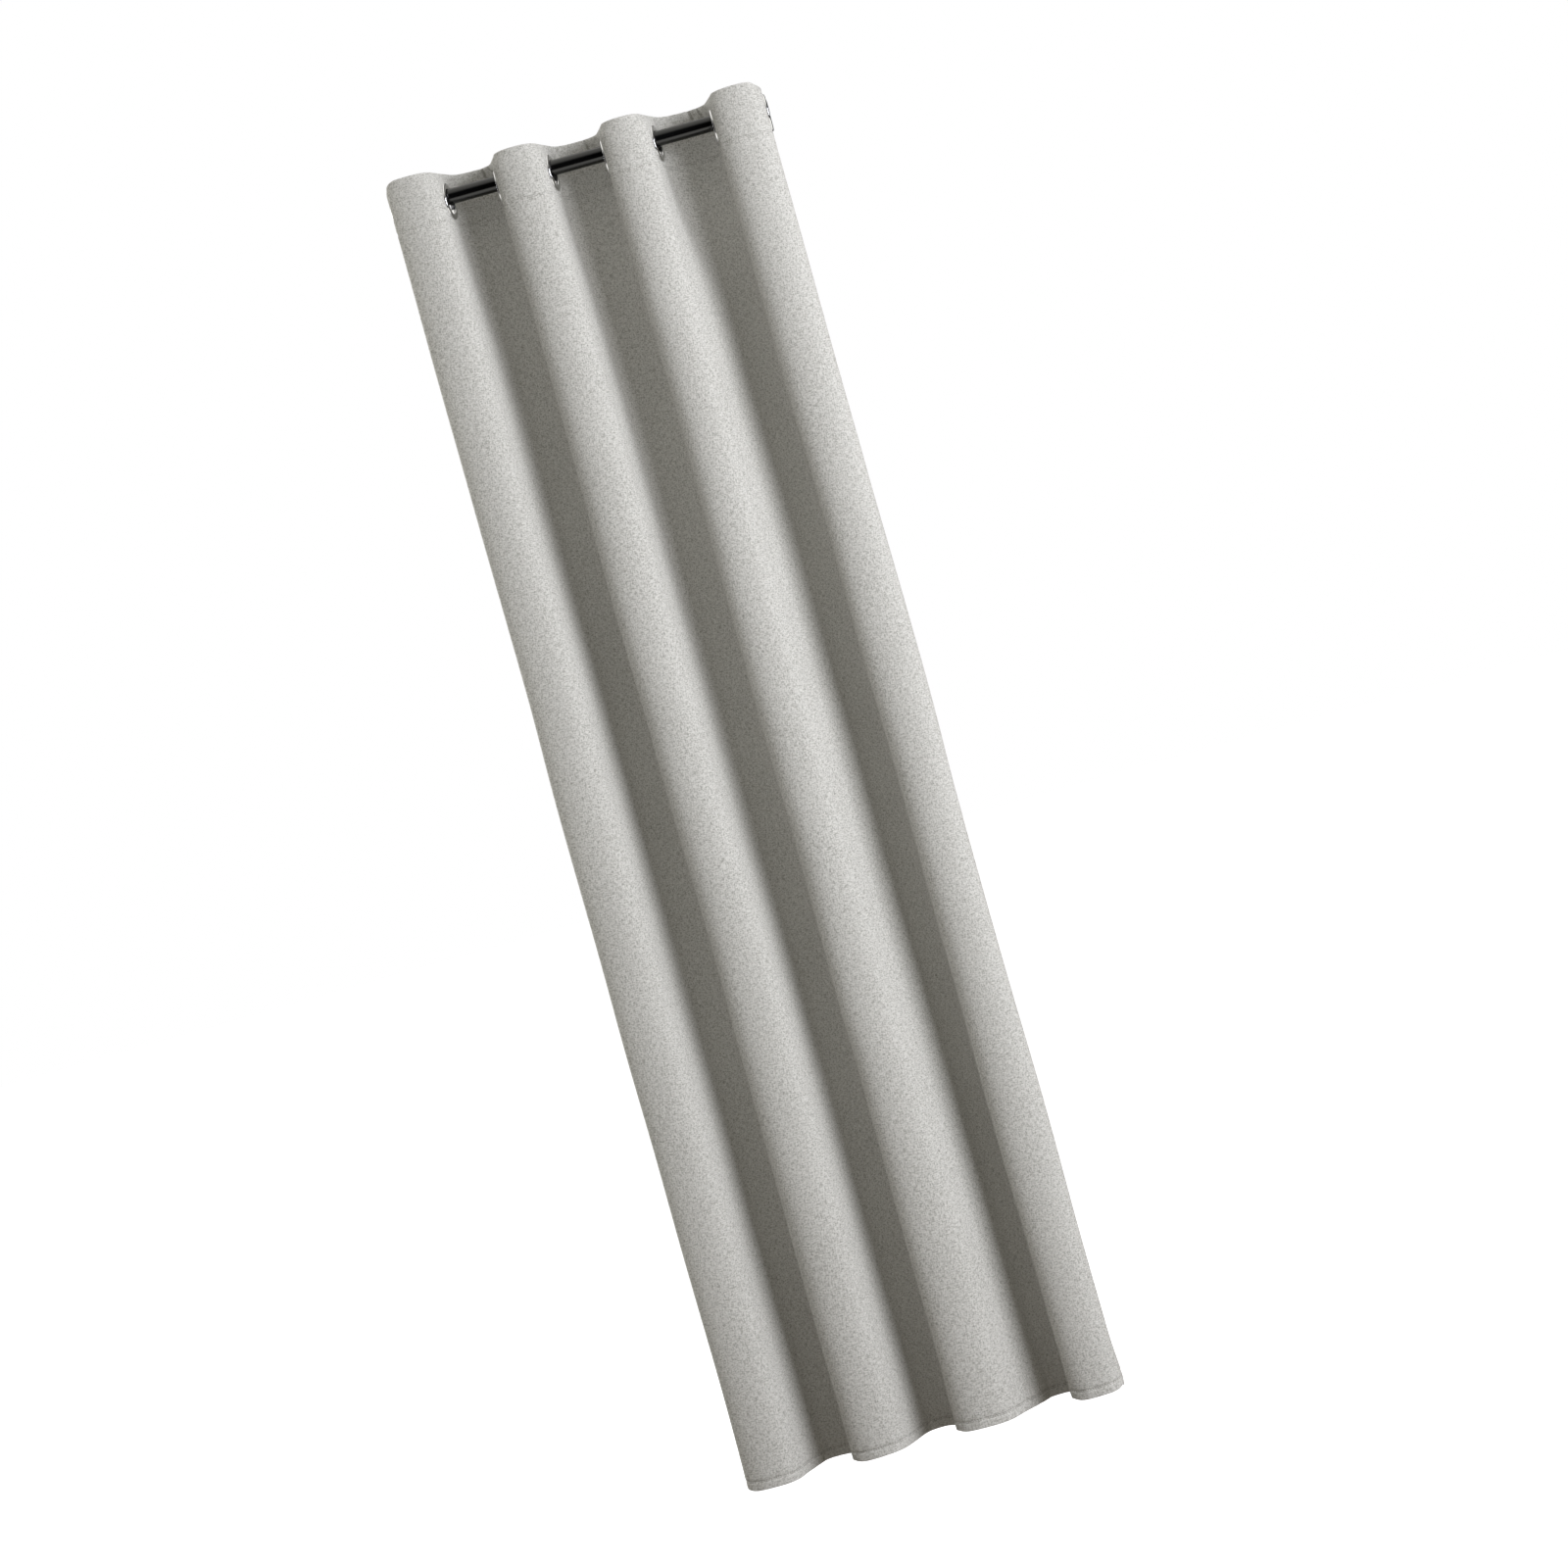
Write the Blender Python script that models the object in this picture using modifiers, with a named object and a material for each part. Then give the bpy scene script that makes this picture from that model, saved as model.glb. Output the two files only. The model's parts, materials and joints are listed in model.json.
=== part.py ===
"""Grommet-top curtain panel, gathered on a stretch of its rod, as an assembly of separate pieces.

Metres, +Z up. The origin is on the rod's axis at the middle of its length. +X runs along the rod to the
viewer's right, and the side of the cloth that faces the room looks towards -Y.

The cloth is described by its fold line, seen from above. The line runs straight through each grommet, where
the ring needs a flat seat, and turns round in a smooth bend in front of the rod and behind it by turns.
"""

import math

import bmesh
import bpy
from mathutils import Matrix, Vector
from mathutils.geometry import interpolate_bezier

# Rod
ROD_RADIUS = 0.0125
ROD_WALL = 0.0010
ROD_HALF_LENGTH = 0.3092
CAP_HEAD = 0.0025
CAP_PLUG_LENGTH = 0.012
ROUND_STEPS = 32

# Cloth
PANEL_LENGTH = 2.134
CLOTH = 0.0008
STIFFENER = 0.0004
GAP = 0.0003
HEADER_DEPTH = 0.085
BOTTOM_HEM_DEPTH = 0.016
BODY_ROWS = 5

# Grommets
BORE_RADIUS = 0.0205
BARREL_WALL = 0.0015
FLANGE_RADIUS = 0.030
FLANGE_RISE = 0.0030
GROMMET_BELOW_TOP_EDGE = 0.047
EYELET_RADIUS = 0.0225
RING_STEPS = 20

# Folds. Each wall is x = place + slope * y near the rod, at the header and at the bottom hem.
WALLS_AT_HEADER = (
    (-0.305, 0.02), (-0.217, 0.19), (-0.134, 0.03), (-0.048, 0.17),
    (0.041, 0.03), (0.124, 0.20), (0.220, 0.03), (0.305, 0.03),
)
WALLS_AT_HEM = (
    (-0.305, 0.02), (-0.206, 0.34), (-0.134, 0.03), (-0.035, 0.34),
    (0.036, 0.03), (0.146, 0.40), (0.222, 0.03), (0.304, 0.03),
)
SEAT_HALF_WIDTH = 0.031
FRONT_DEPTH = 0.058
BACK_DEPTH = 0.055
ROUNDNESS = 0.60
BEND_STEPS = 4
RETURN_BACK = 0.054
RETURN_INWARD = 0.014

# Layers, as the distance of each one's middle behind the middle of the face cloth
STIFFENER_BEHIND = CLOTH / 2 + GAP + STIFFENER / 2
HEADER_HEM_BEHIND = STIFFENER_BEHIND + STIFFENER / 2 + GAP + CLOTH / 2
HEM_BEHIND = CLOTH + GAP

# Levels
GROMMET_Z = ROD_RADIUS + GAP - BORE_RADIUS
TOP_Z = GROMMET_Z + GROMMET_BELOW_TOP_EDGE
HEADER_Z = TOP_Z - HEADER_DEPTH
BOTTOM_Z = TOP_Z - PANEL_LENGTH
HEM_Z = BOTTOM_Z + BOTTOM_HEM_DEPTH

FINISHES = {
    "linen": ((0.55, 0.54, 0.51), 0.95, 0.0),
    "stiffener": ((0.85, 0.85, 0.83), 0.9, 0.0),
    "chrome": ((0.82, 0.82, 0.83), 0.15, 1.0),
    "black_rod": ((0.012, 0.012, 0.013), 0.35, 0.4),
    "black_cap": ((0.02, 0.02, 0.02), 0.5, 0.0),
}


def clear_scene():
    for old in list(bpy.data.objects):
        bpy.data.objects.remove(old, do_unlink=True)


def new_collection(name):
    group = bpy.data.collections.new(name)
    bpy.context.scene.collection.children.link(group)
    return group


def finish(name, kind):
    colour, roughness, metallic = FINISHES[kind]
    material = bpy.data.materials.new(name)
    material.use_nodes = True
    shader = material.node_tree.nodes["Principled BSDF"]
    shader.inputs["Base Color"].default_value = (*colour, 1.0)
    shader.inputs["Roughness"].default_value = roughness
    shader.inputs["Metallic"].default_value = metallic
    return material


def add_object(name, mesh, group, parent, kind=None, place=None):
    """Links a mesh as a named piece, at a place given in world coordinates."""
    piece = bpy.data.objects.new(name, mesh)
    group.objects.link(piece)
    place = place or Matrix.Identity(4)
    if parent:
        piece.parent = parent
        piece.location = place.translation - parent_origin(parent)
    else:
        piece.location = place.translation
    piece.rotation_euler = place.to_euler()
    if kind:
        mesh.materials.append(finish(name, kind))
    return piece


def parent_origin(parent):
    """The world place of an empty whose parents are empties that only move."""
    origin = Vector()
    while parent:
        origin += parent.location
        parent = parent.parent
    return origin


def add_empty(name, group, origin, parent=None):
    empty = bpy.data.objects.new(name, None)
    group.objects.link(empty)
    if parent:
        empty.parent = parent
        empty.location = Vector(origin) - parent_origin(parent)
    else:
        empty.location = origin
    return empty


# Fold line


def walls_at(share):
    """Each wall's place and slope, from the header (0) to the bottom hem (1)."""
    return [
        (x0 + share * (x1 - x0), m0 + share * (m1 - m0))
        for (x0, m0), (x1, m1) in zip(WALLS_AT_HEADER, WALLS_AT_HEM)
    ]


def wall_point(wall, y):
    place, slope = wall
    return Vector((place + slope * y, y))


def bend(left, right, depth):
    """The turn from one wall to the next: two curves that meet at the deepest point of the fold."""
    side = math.copysign(1, depth)
    start = wall_point(left, side * SEAT_HALF_WIDTH)
    end = wall_point(right, side * SEAT_HALF_WIDTH)
    reach = ROUNDNESS * (depth - side * SEAT_HALF_WIDTH)
    lean = (left[1] + right[1]) / 2
    crest = Vector(((start.x + end.x) / 2 + lean * reach, depth))
    to_start = ROUNDNESS * (crest.x - start.x)
    to_end = ROUNDNESS * (end.x - crest.x)
    first = interpolate_bezier(
        start, start + reach * Vector((left[1], 1)), crest - Vector((to_start, 0)), crest, BEND_STEPS + 1
    )
    second = interpolate_bezier(
        crest, crest + Vector((to_end, 0)), end + reach * Vector((right[1], 1)), end, BEND_STEPS + 1
    )
    return first + second[1:]


def side_return(wall, inward):
    """The turned-in end of the cloth behind the rod, from its free edge to the flat seat of the end grommet."""
    seat = wall_point(wall, SEAT_HALF_WIDTH)
    edge = wall_point(wall, RETURN_BACK) + Vector((inward, 0))
    reach = ROUNDNESS * (RETURN_BACK - SEAT_HALF_WIDTH)
    return interpolate_bezier(
        edge, edge - Vector((inward * ROUNDNESS, reach * 0.3)), seat + reach * Vector((wall[1], 1)), seat, BEND_STEPS
    )


def fold_line(share):
    """The whole fold line at one level, from the left edge to the right one."""
    walls = walls_at(share)
    line = side_return(walls[0], RETURN_INWARD)
    for number, (left, right) in enumerate(zip(walls, walls[1:])):
        depth = BACK_DEPTH if number % 2 else -FRONT_DEPTH
        line += bend(left, right, depth)
    line += reversed(side_return(walls[-1], -RETURN_INWARD))
    return [Vector(point).to_2d() for point in line]


def facing(line):
    """The direction that the face side looks in, at each point of a fold line."""
    last = len(line) - 1
    along = [(line[min(i + 1, last)] - line[max(i - 1, 0)]).normalized() for i in range(last + 1)]
    return [Vector((step.y, -step.x)) for step in along]


def level_share(z):
    return max(0.0, min(1.0, (HEADER_Z - z) / (HEADER_Z - BOTTOM_Z)))


def hang_cloth(name, group, parent, kind, levels, behind=0.0, thickness=CLOTH, first=0, last=None):
    """A flat grid hung along the fold line at the given levels, then given its thickness."""
    lines = []
    for z in levels:
        line = fold_line(level_share(z))
        shifted = [point - behind * out for point, out in zip(line, facing(line))]
        lines.append(shifted[first:last])
    columns = len(lines[0])
    cloth = bmesh.new()
    bmesh.ops.create_grid(cloth, x_segments=columns - 1, y_segments=len(levels) - 1, size=0.5)
    cloth.verts.ensure_lookup_table()
    for vertex in cloth.verts:
        column = round((vertex.co.x + 0.5) * (columns - 1))
        row = round((0.5 - vertex.co.y) * (len(levels) - 1))
        vertex.co = (*lines[row][column], levels[row])
    mesh = bpy.data.meshes.new(name)
    cloth.to_mesh(mesh)
    cloth.free()
    piece = add_object(name, mesh, group, parent, kind)
    body = piece.modifiers.new("thickness", "SOLIDIFY")
    body.thickness = thickness
    body.offset = 0.0
    body.use_even_offset = True
    return piece


def punch_eyelets(piece, cutters):
    cut = piece.modifiers.new("eyelets", "BOOLEAN")
    cut.operation = "DIFFERENCE"
    cut.operand_type = "COLLECTION"
    cut.collection = cutters
    cut.solver = "EXACT"


# Turned pieces


def turned(name, profile, group, parent, kind, place, steps):
    """A profile of (radius, height) points turned about its own Z axis. It runs down its outer side."""
    mesh = bpy.data.meshes.new(name)
    outline = bmesh.new()
    corners = [outline.verts.new((radius, 0, height)) for radius, height in profile]
    for i, corner in enumerate(corners[:-1]):
        outline.edges.new((corner, corners[i + 1]))
    if profile[0][0] > 0:
        outline.edges.new((corners[-1], corners[0]))
    outline.to_mesh(mesh)
    outline.free()
    piece = add_object(name, mesh, group, parent, kind, place)
    screw = piece.modifiers.new("turn", "SCREW")
    screw.steps = steps
    screw.render_steps = steps
    screw.use_merge_vertices = True
    screw.merge_threshold = 0.00001
    screw.use_normal_calculate = False
    return piece


def flange(inner, outer, base, rise):
    """The domed half of a ring's section, from its inner rim over the top to its outer rim."""
    middle = (inner + outer) / 2
    half = (outer - inner) / 2
    angles = [math.radians(a) for a in (180, 135, 90, 45, 0)]
    return [(middle + half * math.cos(a), base + rise * (0.3 + 0.7 * math.sin(a))) for a in angles]


def ring_place(wall, face_side):
    """Stands a ring on its wall. face_side is -1 where the cloth's face looks to the left, and 1 to the right."""
    place, slope = wall
    axis = Vector((1, -slope, 0)).normalized() * face_side
    turn = axis.to_track_quat("Z", "Y").to_matrix().to_4x4()
    return Matrix.Translation((place, 0, GROMMET_Z)) @ turn


def front_profile():
    seat = CLOTH / 2 + GAP
    end = -(HEADER_HEM_BEHIND + CLOTH / 2 + GAP) - FLANGE_RISE * 0.75
    dome = flange(BORE_RADIUS, FLANGE_RADIUS, seat, FLANGE_RISE)
    outside = BORE_RADIUS + BARREL_WALL
    return dome + [(FLANGE_RADIUS, seat), (outside, seat), (outside, end), (BORE_RADIUS, end)]


def back_profile():
    seat = HEADER_HEM_BEHIND + CLOTH / 2 + GAP
    inner = BORE_RADIUS + BARREL_WALL + GAP
    dome = flange(inner, FLANGE_RADIUS, seat, FLANGE_RISE)
    under = [(FLANGE_RADIUS, seat), (inner, seat)]
    return [(radius, -height) for radius, height in reversed(dome + under)]


def make_rod(group):
    along_x = Matrix.Rotation(math.pi / 2, 4, "Y")
    half = ROD_HALF_LENGTH - CAP_HEAD - GAP
    bore = ROD_RADIUS - ROD_WALL
    tube = [(bore, half), (ROD_RADIUS, half), (ROD_RADIUS, -half), (bore, -half)]
    turned("rod_tube", tube, group, None, "black_rod", along_x, ROUND_STEPS)
    edge = CAP_HEAD * 0.3
    plug = bore - GAP
    shoulder = ROD_HALF_LENGTH - CAP_HEAD
    cap = [
        (0, ROD_HALF_LENGTH), (ROD_RADIUS - edge, ROD_HALF_LENGTH), (ROD_RADIUS, ROD_HALF_LENGTH - edge),
        (ROD_RADIUS, shoulder), (plug, shoulder), (plug, shoulder - CAP_PLUG_LENGTH),
        (0, shoulder - CAP_PLUG_LENGTH),
    ]
    turned("rod_cap_right", cap, group, None, "black_cap", along_x, ROUND_STEPS)
    turned("rod_cap_left", cap, group, None, "black_cap", Matrix.Rotation(-math.pi / 2, 4, "Y"), ROUND_STEPS)


def make_grommets(group, pivot):
    for number, wall in enumerate(WALLS_AT_HEADER, start=1):
        face_side = -1 if number % 2 else 1
        carrier = add_empty(f"grommet_{number}_slide", group, (wall[0], 0, 0), pivot)
        place = ring_place(wall, face_side)
        turned(f"grommet_front_{number}", front_profile(), group, carrier, "chrome", place, RING_STEPS)
        turned(f"grommet_back_{number}", back_profile(), group, carrier, "chrome", place, RING_STEPS)


def make_cutters(cutters):
    for number, wall in enumerate(WALLS_AT_HEADER, start=1):
        mesh = bpy.data.meshes.new(f"eyelet_cutter_{number}")
        drum = bmesh.new()
        bmesh.ops.create_cone(
            drum, cap_ends=True, segments=RING_STEPS, radius1=EYELET_RADIUS, radius2=EYELET_RADIUS, depth=0.02
        )
        drum.to_mesh(mesh)
        drum.free()
        cutter = add_object(mesh.name, mesh, cutters, None, None, ring_place(wall, 1))
        cutter.hide_render = True
        cutter.display_type = "WIRE"


def make_cloth(group, cutters, pivot):
    step = (HEADER_Z - HEM_Z) / BODY_ROWS
    body_levels = [HEADER_Z - step * row for row in range(BODY_ROWS + 1)]
    face = hang_cloth("face_fabric", group, pivot, "linen", [TOP_Z, *body_levels, BOTTOM_Z])
    stiffener = hang_cloth(
        "header_stiffener", group, pivot, "stiffener", [TOP_Z, HEADER_Z], STIFFENER_BEHIND, STIFFENER
    )
    header = hang_cloth("header_hem", group, pivot, "linen", [TOP_Z, HEADER_Z], HEADER_HEM_BEHIND)
    for layer in (face, stiffener, header):
        punch_eyelets(layer, cutters)
    hang_cloth("bottom_hem", group, pivot, "linen", [HEM_Z, BOTTOM_Z], HEM_BEHIND)
    side_levels = [HEADER_Z - GAP, *body_levels[1:-1], HEM_Z + GAP]
    hang_cloth("side_hem_left", group, pivot, "linen", side_levels, HEM_BEHIND, last=BEND_STEPS)
    hang_cloth("side_hem_right", group, pivot, "linen", side_levels, HEM_BEHIND, first=-BEND_STEPS)


def main():
    clear_scene()
    group = new_collection("curtain_panel")
    cutters = new_collection("cutters")
    make_rod(group)
    pivot = add_empty("panel_swing", group, (0, 0, 0))
    make_cutters(cutters)
    make_cloth(group, cutters, pivot)
    make_grommets(group, pivot)


main()
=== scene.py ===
"""The looks of a grommet-top curtain panel: linen-look cloth in deep folds, bright rings and a black rod.

Everything is in metres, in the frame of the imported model: +X runs along the rod, the cloth's face side looks
towards -Y, and the rod's axis is at height zero.
"""

import json
import math
from functools import lru_cache

import bmesh
import bpy
import numpy as np
from bpy.props import FloatProperty, FloatVectorProperty, IntProperty, PointerProperty
from mathutils import Matrix, Vector


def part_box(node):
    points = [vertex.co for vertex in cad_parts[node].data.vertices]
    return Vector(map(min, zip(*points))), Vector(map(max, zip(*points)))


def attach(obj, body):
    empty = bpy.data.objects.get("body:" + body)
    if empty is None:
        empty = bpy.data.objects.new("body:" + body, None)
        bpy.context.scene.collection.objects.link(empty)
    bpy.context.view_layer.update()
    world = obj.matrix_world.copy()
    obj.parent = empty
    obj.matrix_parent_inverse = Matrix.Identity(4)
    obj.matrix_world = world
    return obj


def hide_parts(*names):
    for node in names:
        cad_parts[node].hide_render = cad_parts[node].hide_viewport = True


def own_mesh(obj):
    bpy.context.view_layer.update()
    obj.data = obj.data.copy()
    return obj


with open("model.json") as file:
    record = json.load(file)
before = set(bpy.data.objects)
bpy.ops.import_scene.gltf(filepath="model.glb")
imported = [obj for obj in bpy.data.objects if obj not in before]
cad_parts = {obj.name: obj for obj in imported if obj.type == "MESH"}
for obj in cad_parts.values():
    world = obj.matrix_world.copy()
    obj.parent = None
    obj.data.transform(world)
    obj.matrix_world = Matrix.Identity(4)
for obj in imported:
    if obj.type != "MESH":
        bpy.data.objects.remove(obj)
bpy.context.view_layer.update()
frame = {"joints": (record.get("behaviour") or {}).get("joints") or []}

bl_info = {
    "name": "Grommet Curtain Panel",
    "version": (1, 0, 0),
    "blender": (4, 5, 0),
    "location": "3D View > Sidebar > Curtain",
    "description": "Makes a curtain panel that hangs in folds from grommets on a rod",
    "category": "Add Mesh",
}

MM = 0.001

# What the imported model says
FACE_LOW, FACE_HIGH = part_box("face_fabric")
TOP = FACE_HIGH.z
LENGTH = FACE_HIGH.z - FACE_LOW.z
HEADER_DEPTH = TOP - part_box("header_hem")[0].z
BOTTOM_HEM_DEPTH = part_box("bottom_hem")[1].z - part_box("bottom_hem")[0].z
RING_LOW, RING_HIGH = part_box("grommet_front_1")
RING_Z = (RING_LOW.z + RING_HIGH.z) / 2
RING_RADIUS = (RING_HIGH.z - RING_LOW.z) / 2
ROD_RADIUS = (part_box("rod_tube")[1].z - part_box("rod_tube")[0].z) / 2
ROD_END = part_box("rod_cap_right")[1].x
ROD_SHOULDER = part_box("rod_tube")[1].x
DRAW_JOINT = next(joint for joint in frame["joints"] if joint["name"] == "draw")
DRAW_TRAVEL = -DRAW_JOINT["range_m"][0]

# The folds' walls, each x = place + slope * y near the rod, at the header and at the bottom hem
WALLS_AT_HEADER = np.array((
    (-0.305, 0.02), (-0.217, 0.19), (-0.134, 0.03), (-0.048, 0.17),
    (0.041, 0.03), (0.124, 0.20), (0.220, 0.03), (0.305, 0.03),
))
WALLS_AT_HEM = np.array((
    (-0.305, 0.02), (-0.206, 0.34), (-0.134, 0.03), (-0.035, 0.34),
    (0.036, 0.03), (0.146, 0.40), (0.222, 0.03), (0.304, 0.03),
))
RINGS = len(WALLS_AT_HEADER)
# How far a fold reaches in front of the rod's axis and behind it, and half of a wall's flat part at its grommet
FRONT_DEPTH = 0.058
BACK_DEPTH = 0.055
SEAT_HALF_WIDTH = 0.031
ROUNDNESS = 0.60
# What each wall's slope gains below the header, and above the rings, where the top edge closes up or opens
SPREAD = np.array((0.0, 0.10, 0.0, 0.11, 0.0, 0.33, 0.0, 0.0))
PINCH = np.array((-0.08, 0.18, -0.20, 0.18, -0.20, 0.18, -0.20, 0.08))
# How far each bend bellies out past its left wall
BULGE = (0.6, 0.0, 0.2, 0.0, 0.2, 0.0, 0.2)
# The free edges behind the end grommets
RETURN_BACK = 0.054
RETURN_INWARD = 0.014
KEEP_WHEN_DRAWN = 1 - DRAW_TRAVEL / (WALLS_AT_HEADER[-1, 0] - WALLS_AT_HEADER[0, 0])

# Stations along the fold line, each wall's middle column, and the level that the flat widths are measured at
BEND_STEPS = 14
WALL_STEPS = 8
RETURN_STEPS = 9
WALL_COLUMNS = [RETURN_STEPS + n * (WALL_STEPS + 2 * BEND_STEPS) + WALL_STEPS // 2 for n in range(RINGS)]
MEASURED_ROW = 6
HEM_COLUMN = RETURN_STEPS - 2

# First seeds of the slow wanders, one seed for each wall or fold
PLACE_SEED, SLOPE_SEED, DEPTH_SEED = 0, 40, 80

# Distances below the top edge
HEADER_SEAM = HEADER_DEPTH - 2.5 * MM
BOTTOM_SEAM = LENGTH - 14.0 * MM
# Where the shade painted along the creases has faded out
HEADER_CREASE_END = 32 * MM
# Creases down from the top edge: the place counted in grommets from the left, the half width and the depth
# The depth also sets how dark the shade painted into the colour along each crease is.
CREASES = (
    (1.62, 3.8 * MM, 3.8 * MM), (1.71, 3.2 * MM, 2.4 * MM), (3.60, 3.6 * MM, 2.4 * MM),
    (5.58, 3.8 * MM, 3.8 * MM), (5.67, 3.2 * MM, 2.4 * MM),
)
# The front corner of a fold: its distance from its grommet, its width, and how far the hem lifts there. The top edge
# drops at the two outer corners, over a wider stretch on the side of the free edge.
CORNER_PLACE = 38 * MM
CORNER_WIDTH = 14 * MM
CORNER_RISE = 5 * MM
CORNER_WIDTH_OUTWARD = 40 * MM
CORNER_DROP = 6.5 * MM

# Layers: the clearance between two pieces, the tape's thickness and each layer's distance behind the face cloth
GAP = 0.3 * MM
STIFFENER = 0.4 * MM
STIFFENER_BEHIND = 0.9 * MM
HEADER_HEM_BEHIND = 1.8 * MM
HEM_BEHIND = 1.1 * MM
EYELET_CLEARANCE = 0.8 * MM
# The face cloth's rolled edges, in millimetres: the distance from the edge and the distance behind the face
ROLLED_TOP = ((1.1, 1.75), (0.5, 1.6), (0.1, 1.2), (0.1, 0.6), (0.4, 0.15), (0.9, 0.0))
ROLLED_FOOT = ((0.9, 0.0), (0.4, 0.1), (0.1, 0.35), (0.1, 0.75), (0.5, 1.0), (1.0, 1.1))
ROLL_DEPTH = 1.2 * MM

# One stitch
THREAD_RADIUS = 0.42 * MM
STITCH_LENGTH = 2.2 * MM
STITCH_END = 0.5 * MM
STITCH_DIP = 0.25 * MM
STITCH_TAPER = 0.55
STITCH_LIFT = 0.1 * MM

# The rod's tube and caps
TUBE_WALL = 1.0 * MM
TUBE_EDGE = 0.3 * MM
CAP_EDGE = 0.75 * MM


# ---------------------------------------------------------------- settings


class CurtainCloth(bpy.types.PropertyGroup):
    """Sizes and colours of the cloth."""

    flat_width: FloatProperty(
        name="Flat Width", description="Width of the panel laid flat", default=1.32, unit="LENGTH"
    )
    thickness: FloatProperty(
        name="Thickness", description="Thickness of the cloth", default=0.8 * MM, unit="LENGTH"
    )
    wander: FloatProperty(
        name="Wander", description="How far a fold drifts sideways on its way down", default=2.2 * MM, unit="LENGTH"
    )
    pucker: FloatProperty(
        name="Pucker", description="Height of the puckers beside a seam", default=1.0 * MM, unit="LENGTH"
    )
    stitch_pitch: FloatProperty(
        name="Stitch Pitch", description="Distance from stitch to stitch", default=4.0 * MM, unit="LENGTH"
    )
    yarn_pitch: FloatProperty(
        name="Yarn Pitch", description="Distance from yarn to yarn in the weave", default=0.9 * MM, unit="LENGTH"
    )
    light_yarn: FloatVectorProperty(
        name="Light Yarn", description="Colour of the lightest yarns", default=(0.79, 0.78, 0.745),
        subtype="COLOR", min=0, max=1,
    )
    dark_yarn: FloatVectorProperty(
        name="Dark Yarn", description="Colour of the darkest yarns", default=(0.37, 0.362, 0.33),
        subtype="COLOR", min=0, max=1,
    )


class CurtainMetal(bpy.types.PropertyGroup):
    """Sizes and colours of the rings and the rod."""

    bore_radius: FloatProperty(
        name="Bore Radius", description="Radius of a grommet's opening", default=20.5 * MM, unit="LENGTH"
    )
    barrel_wall: FloatProperty(
        name="Barrel Wall", description="Thickness of a grommet's barrel", default=1.5 * MM, unit="LENGTH"
    )
    flange_rise: FloatProperty(
        name="Flange Rise", description="Height of a ring's dome over the cloth", default=3.0 * MM, unit="LENGTH"
    )
    sides: IntProperty(name="Sides", description="Sides of a turned piece", default=96, min=12)
    ring_colour: FloatVectorProperty(
        name="Ring Colour", description="Colour of the plated rings", default=(0.82, 0.82, 0.83),
        subtype="COLOR", min=0, max=1,
    )
    rod_colour: FloatVectorProperty(
        name="Rod Colour", description="Colour of the rod's paint", default=(0.0012, 0.0012, 0.0014),
        subtype="COLOR", min=0, max=1,
    )


class CurtainStage(bpy.types.PropertyGroup):
    """The camera, the floor and the lights."""

    distance: FloatProperty(name="Distance", description="Camera's distance", default=5.9, unit="LENGTH")
    lens: FloatProperty(name="Lens", description="Camera's focal length in millimetres", default=85.6)
    roll: FloatProperty(
        name="Roll", description="Turn of the camera about its line of sight", default=math.radians(-15.62),
        subtype="ANGLE",
    )
    aim_x: FloatProperty(name="Aim Along Rod", description="Camera's place along the rod", default=0.045, unit="LENGTH")
    aim_z: FloatProperty(name="Aim Height", description="Camera's height", default=-1.0373, unit="LENGTH")
    floor_drop: FloatProperty(
        name="Floor Drop", description="From the bottom hem down to the floor", default=0.35, unit="LENGTH"
    )
    card_size: FloatProperty(name="Card", description="Side of the dark card under the hem", default=1.6, unit="LENGTH")
    fill: FloatProperty(name="Fill", description="Strength of the light from all round", default=0.335)
    ceiling: FloatProperty(name="Ceiling", description="Brightness of the ceiling in reflections", default=1.25)
    pool: FloatProperty(name="Pool", description="Brightness of the lit ground in reflections", default=1.5)
    key_power: FloatProperty(name="Key", description="Power of the large light at the front right", default=168.0)
    back_power: FloatProperty(name="Back", description="Power of the large light behind, at the left", default=150.0)
    side_power: FloatProperty(name="Side", description="Power of the narrow light high at the left", default=30.0)


# ---------------------------------------------------------------- shader expressions


class Value:
    """A number that varies over a surface. Arithmetic on it adds Math nodes to its finish."""

    def __init__(self, finish, socket):
        self.finish = finish
        self.socket = socket

    def math(self, operation, *operands):
        return self.finish.value("ShaderNodeMath", {"operation": operation}, dict(enumerate(operands)))

    def __add__(self, other):
        return self.math("ADD", self, other)

    def __sub__(self, other):
        return self.math("SUBTRACT", self, other)

    def __rsub__(self, other):
        return self.math("SUBTRACT", other, self)

    def __mul__(self, other):
        return self.math("MULTIPLY", self, other)

    def __truediv__(self, other):
        return self.math("DIVIDE", self, other)

    __radd__ = __add__
    __rmul__ = __mul__

    def sine(self):
        return self.math("SINE", self)

    def size(self):
        return self.math("ABSOLUTE", self)

    def step(self, low, high):
        """0 below low and 1 above high, with a soft change between."""
        settings = {"interpolation_type": "SMOOTHSTEP"}
        return self.finish.value("ShaderNodeMapRange", settings, {"Value": self, 1: low, 2: high})


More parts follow.
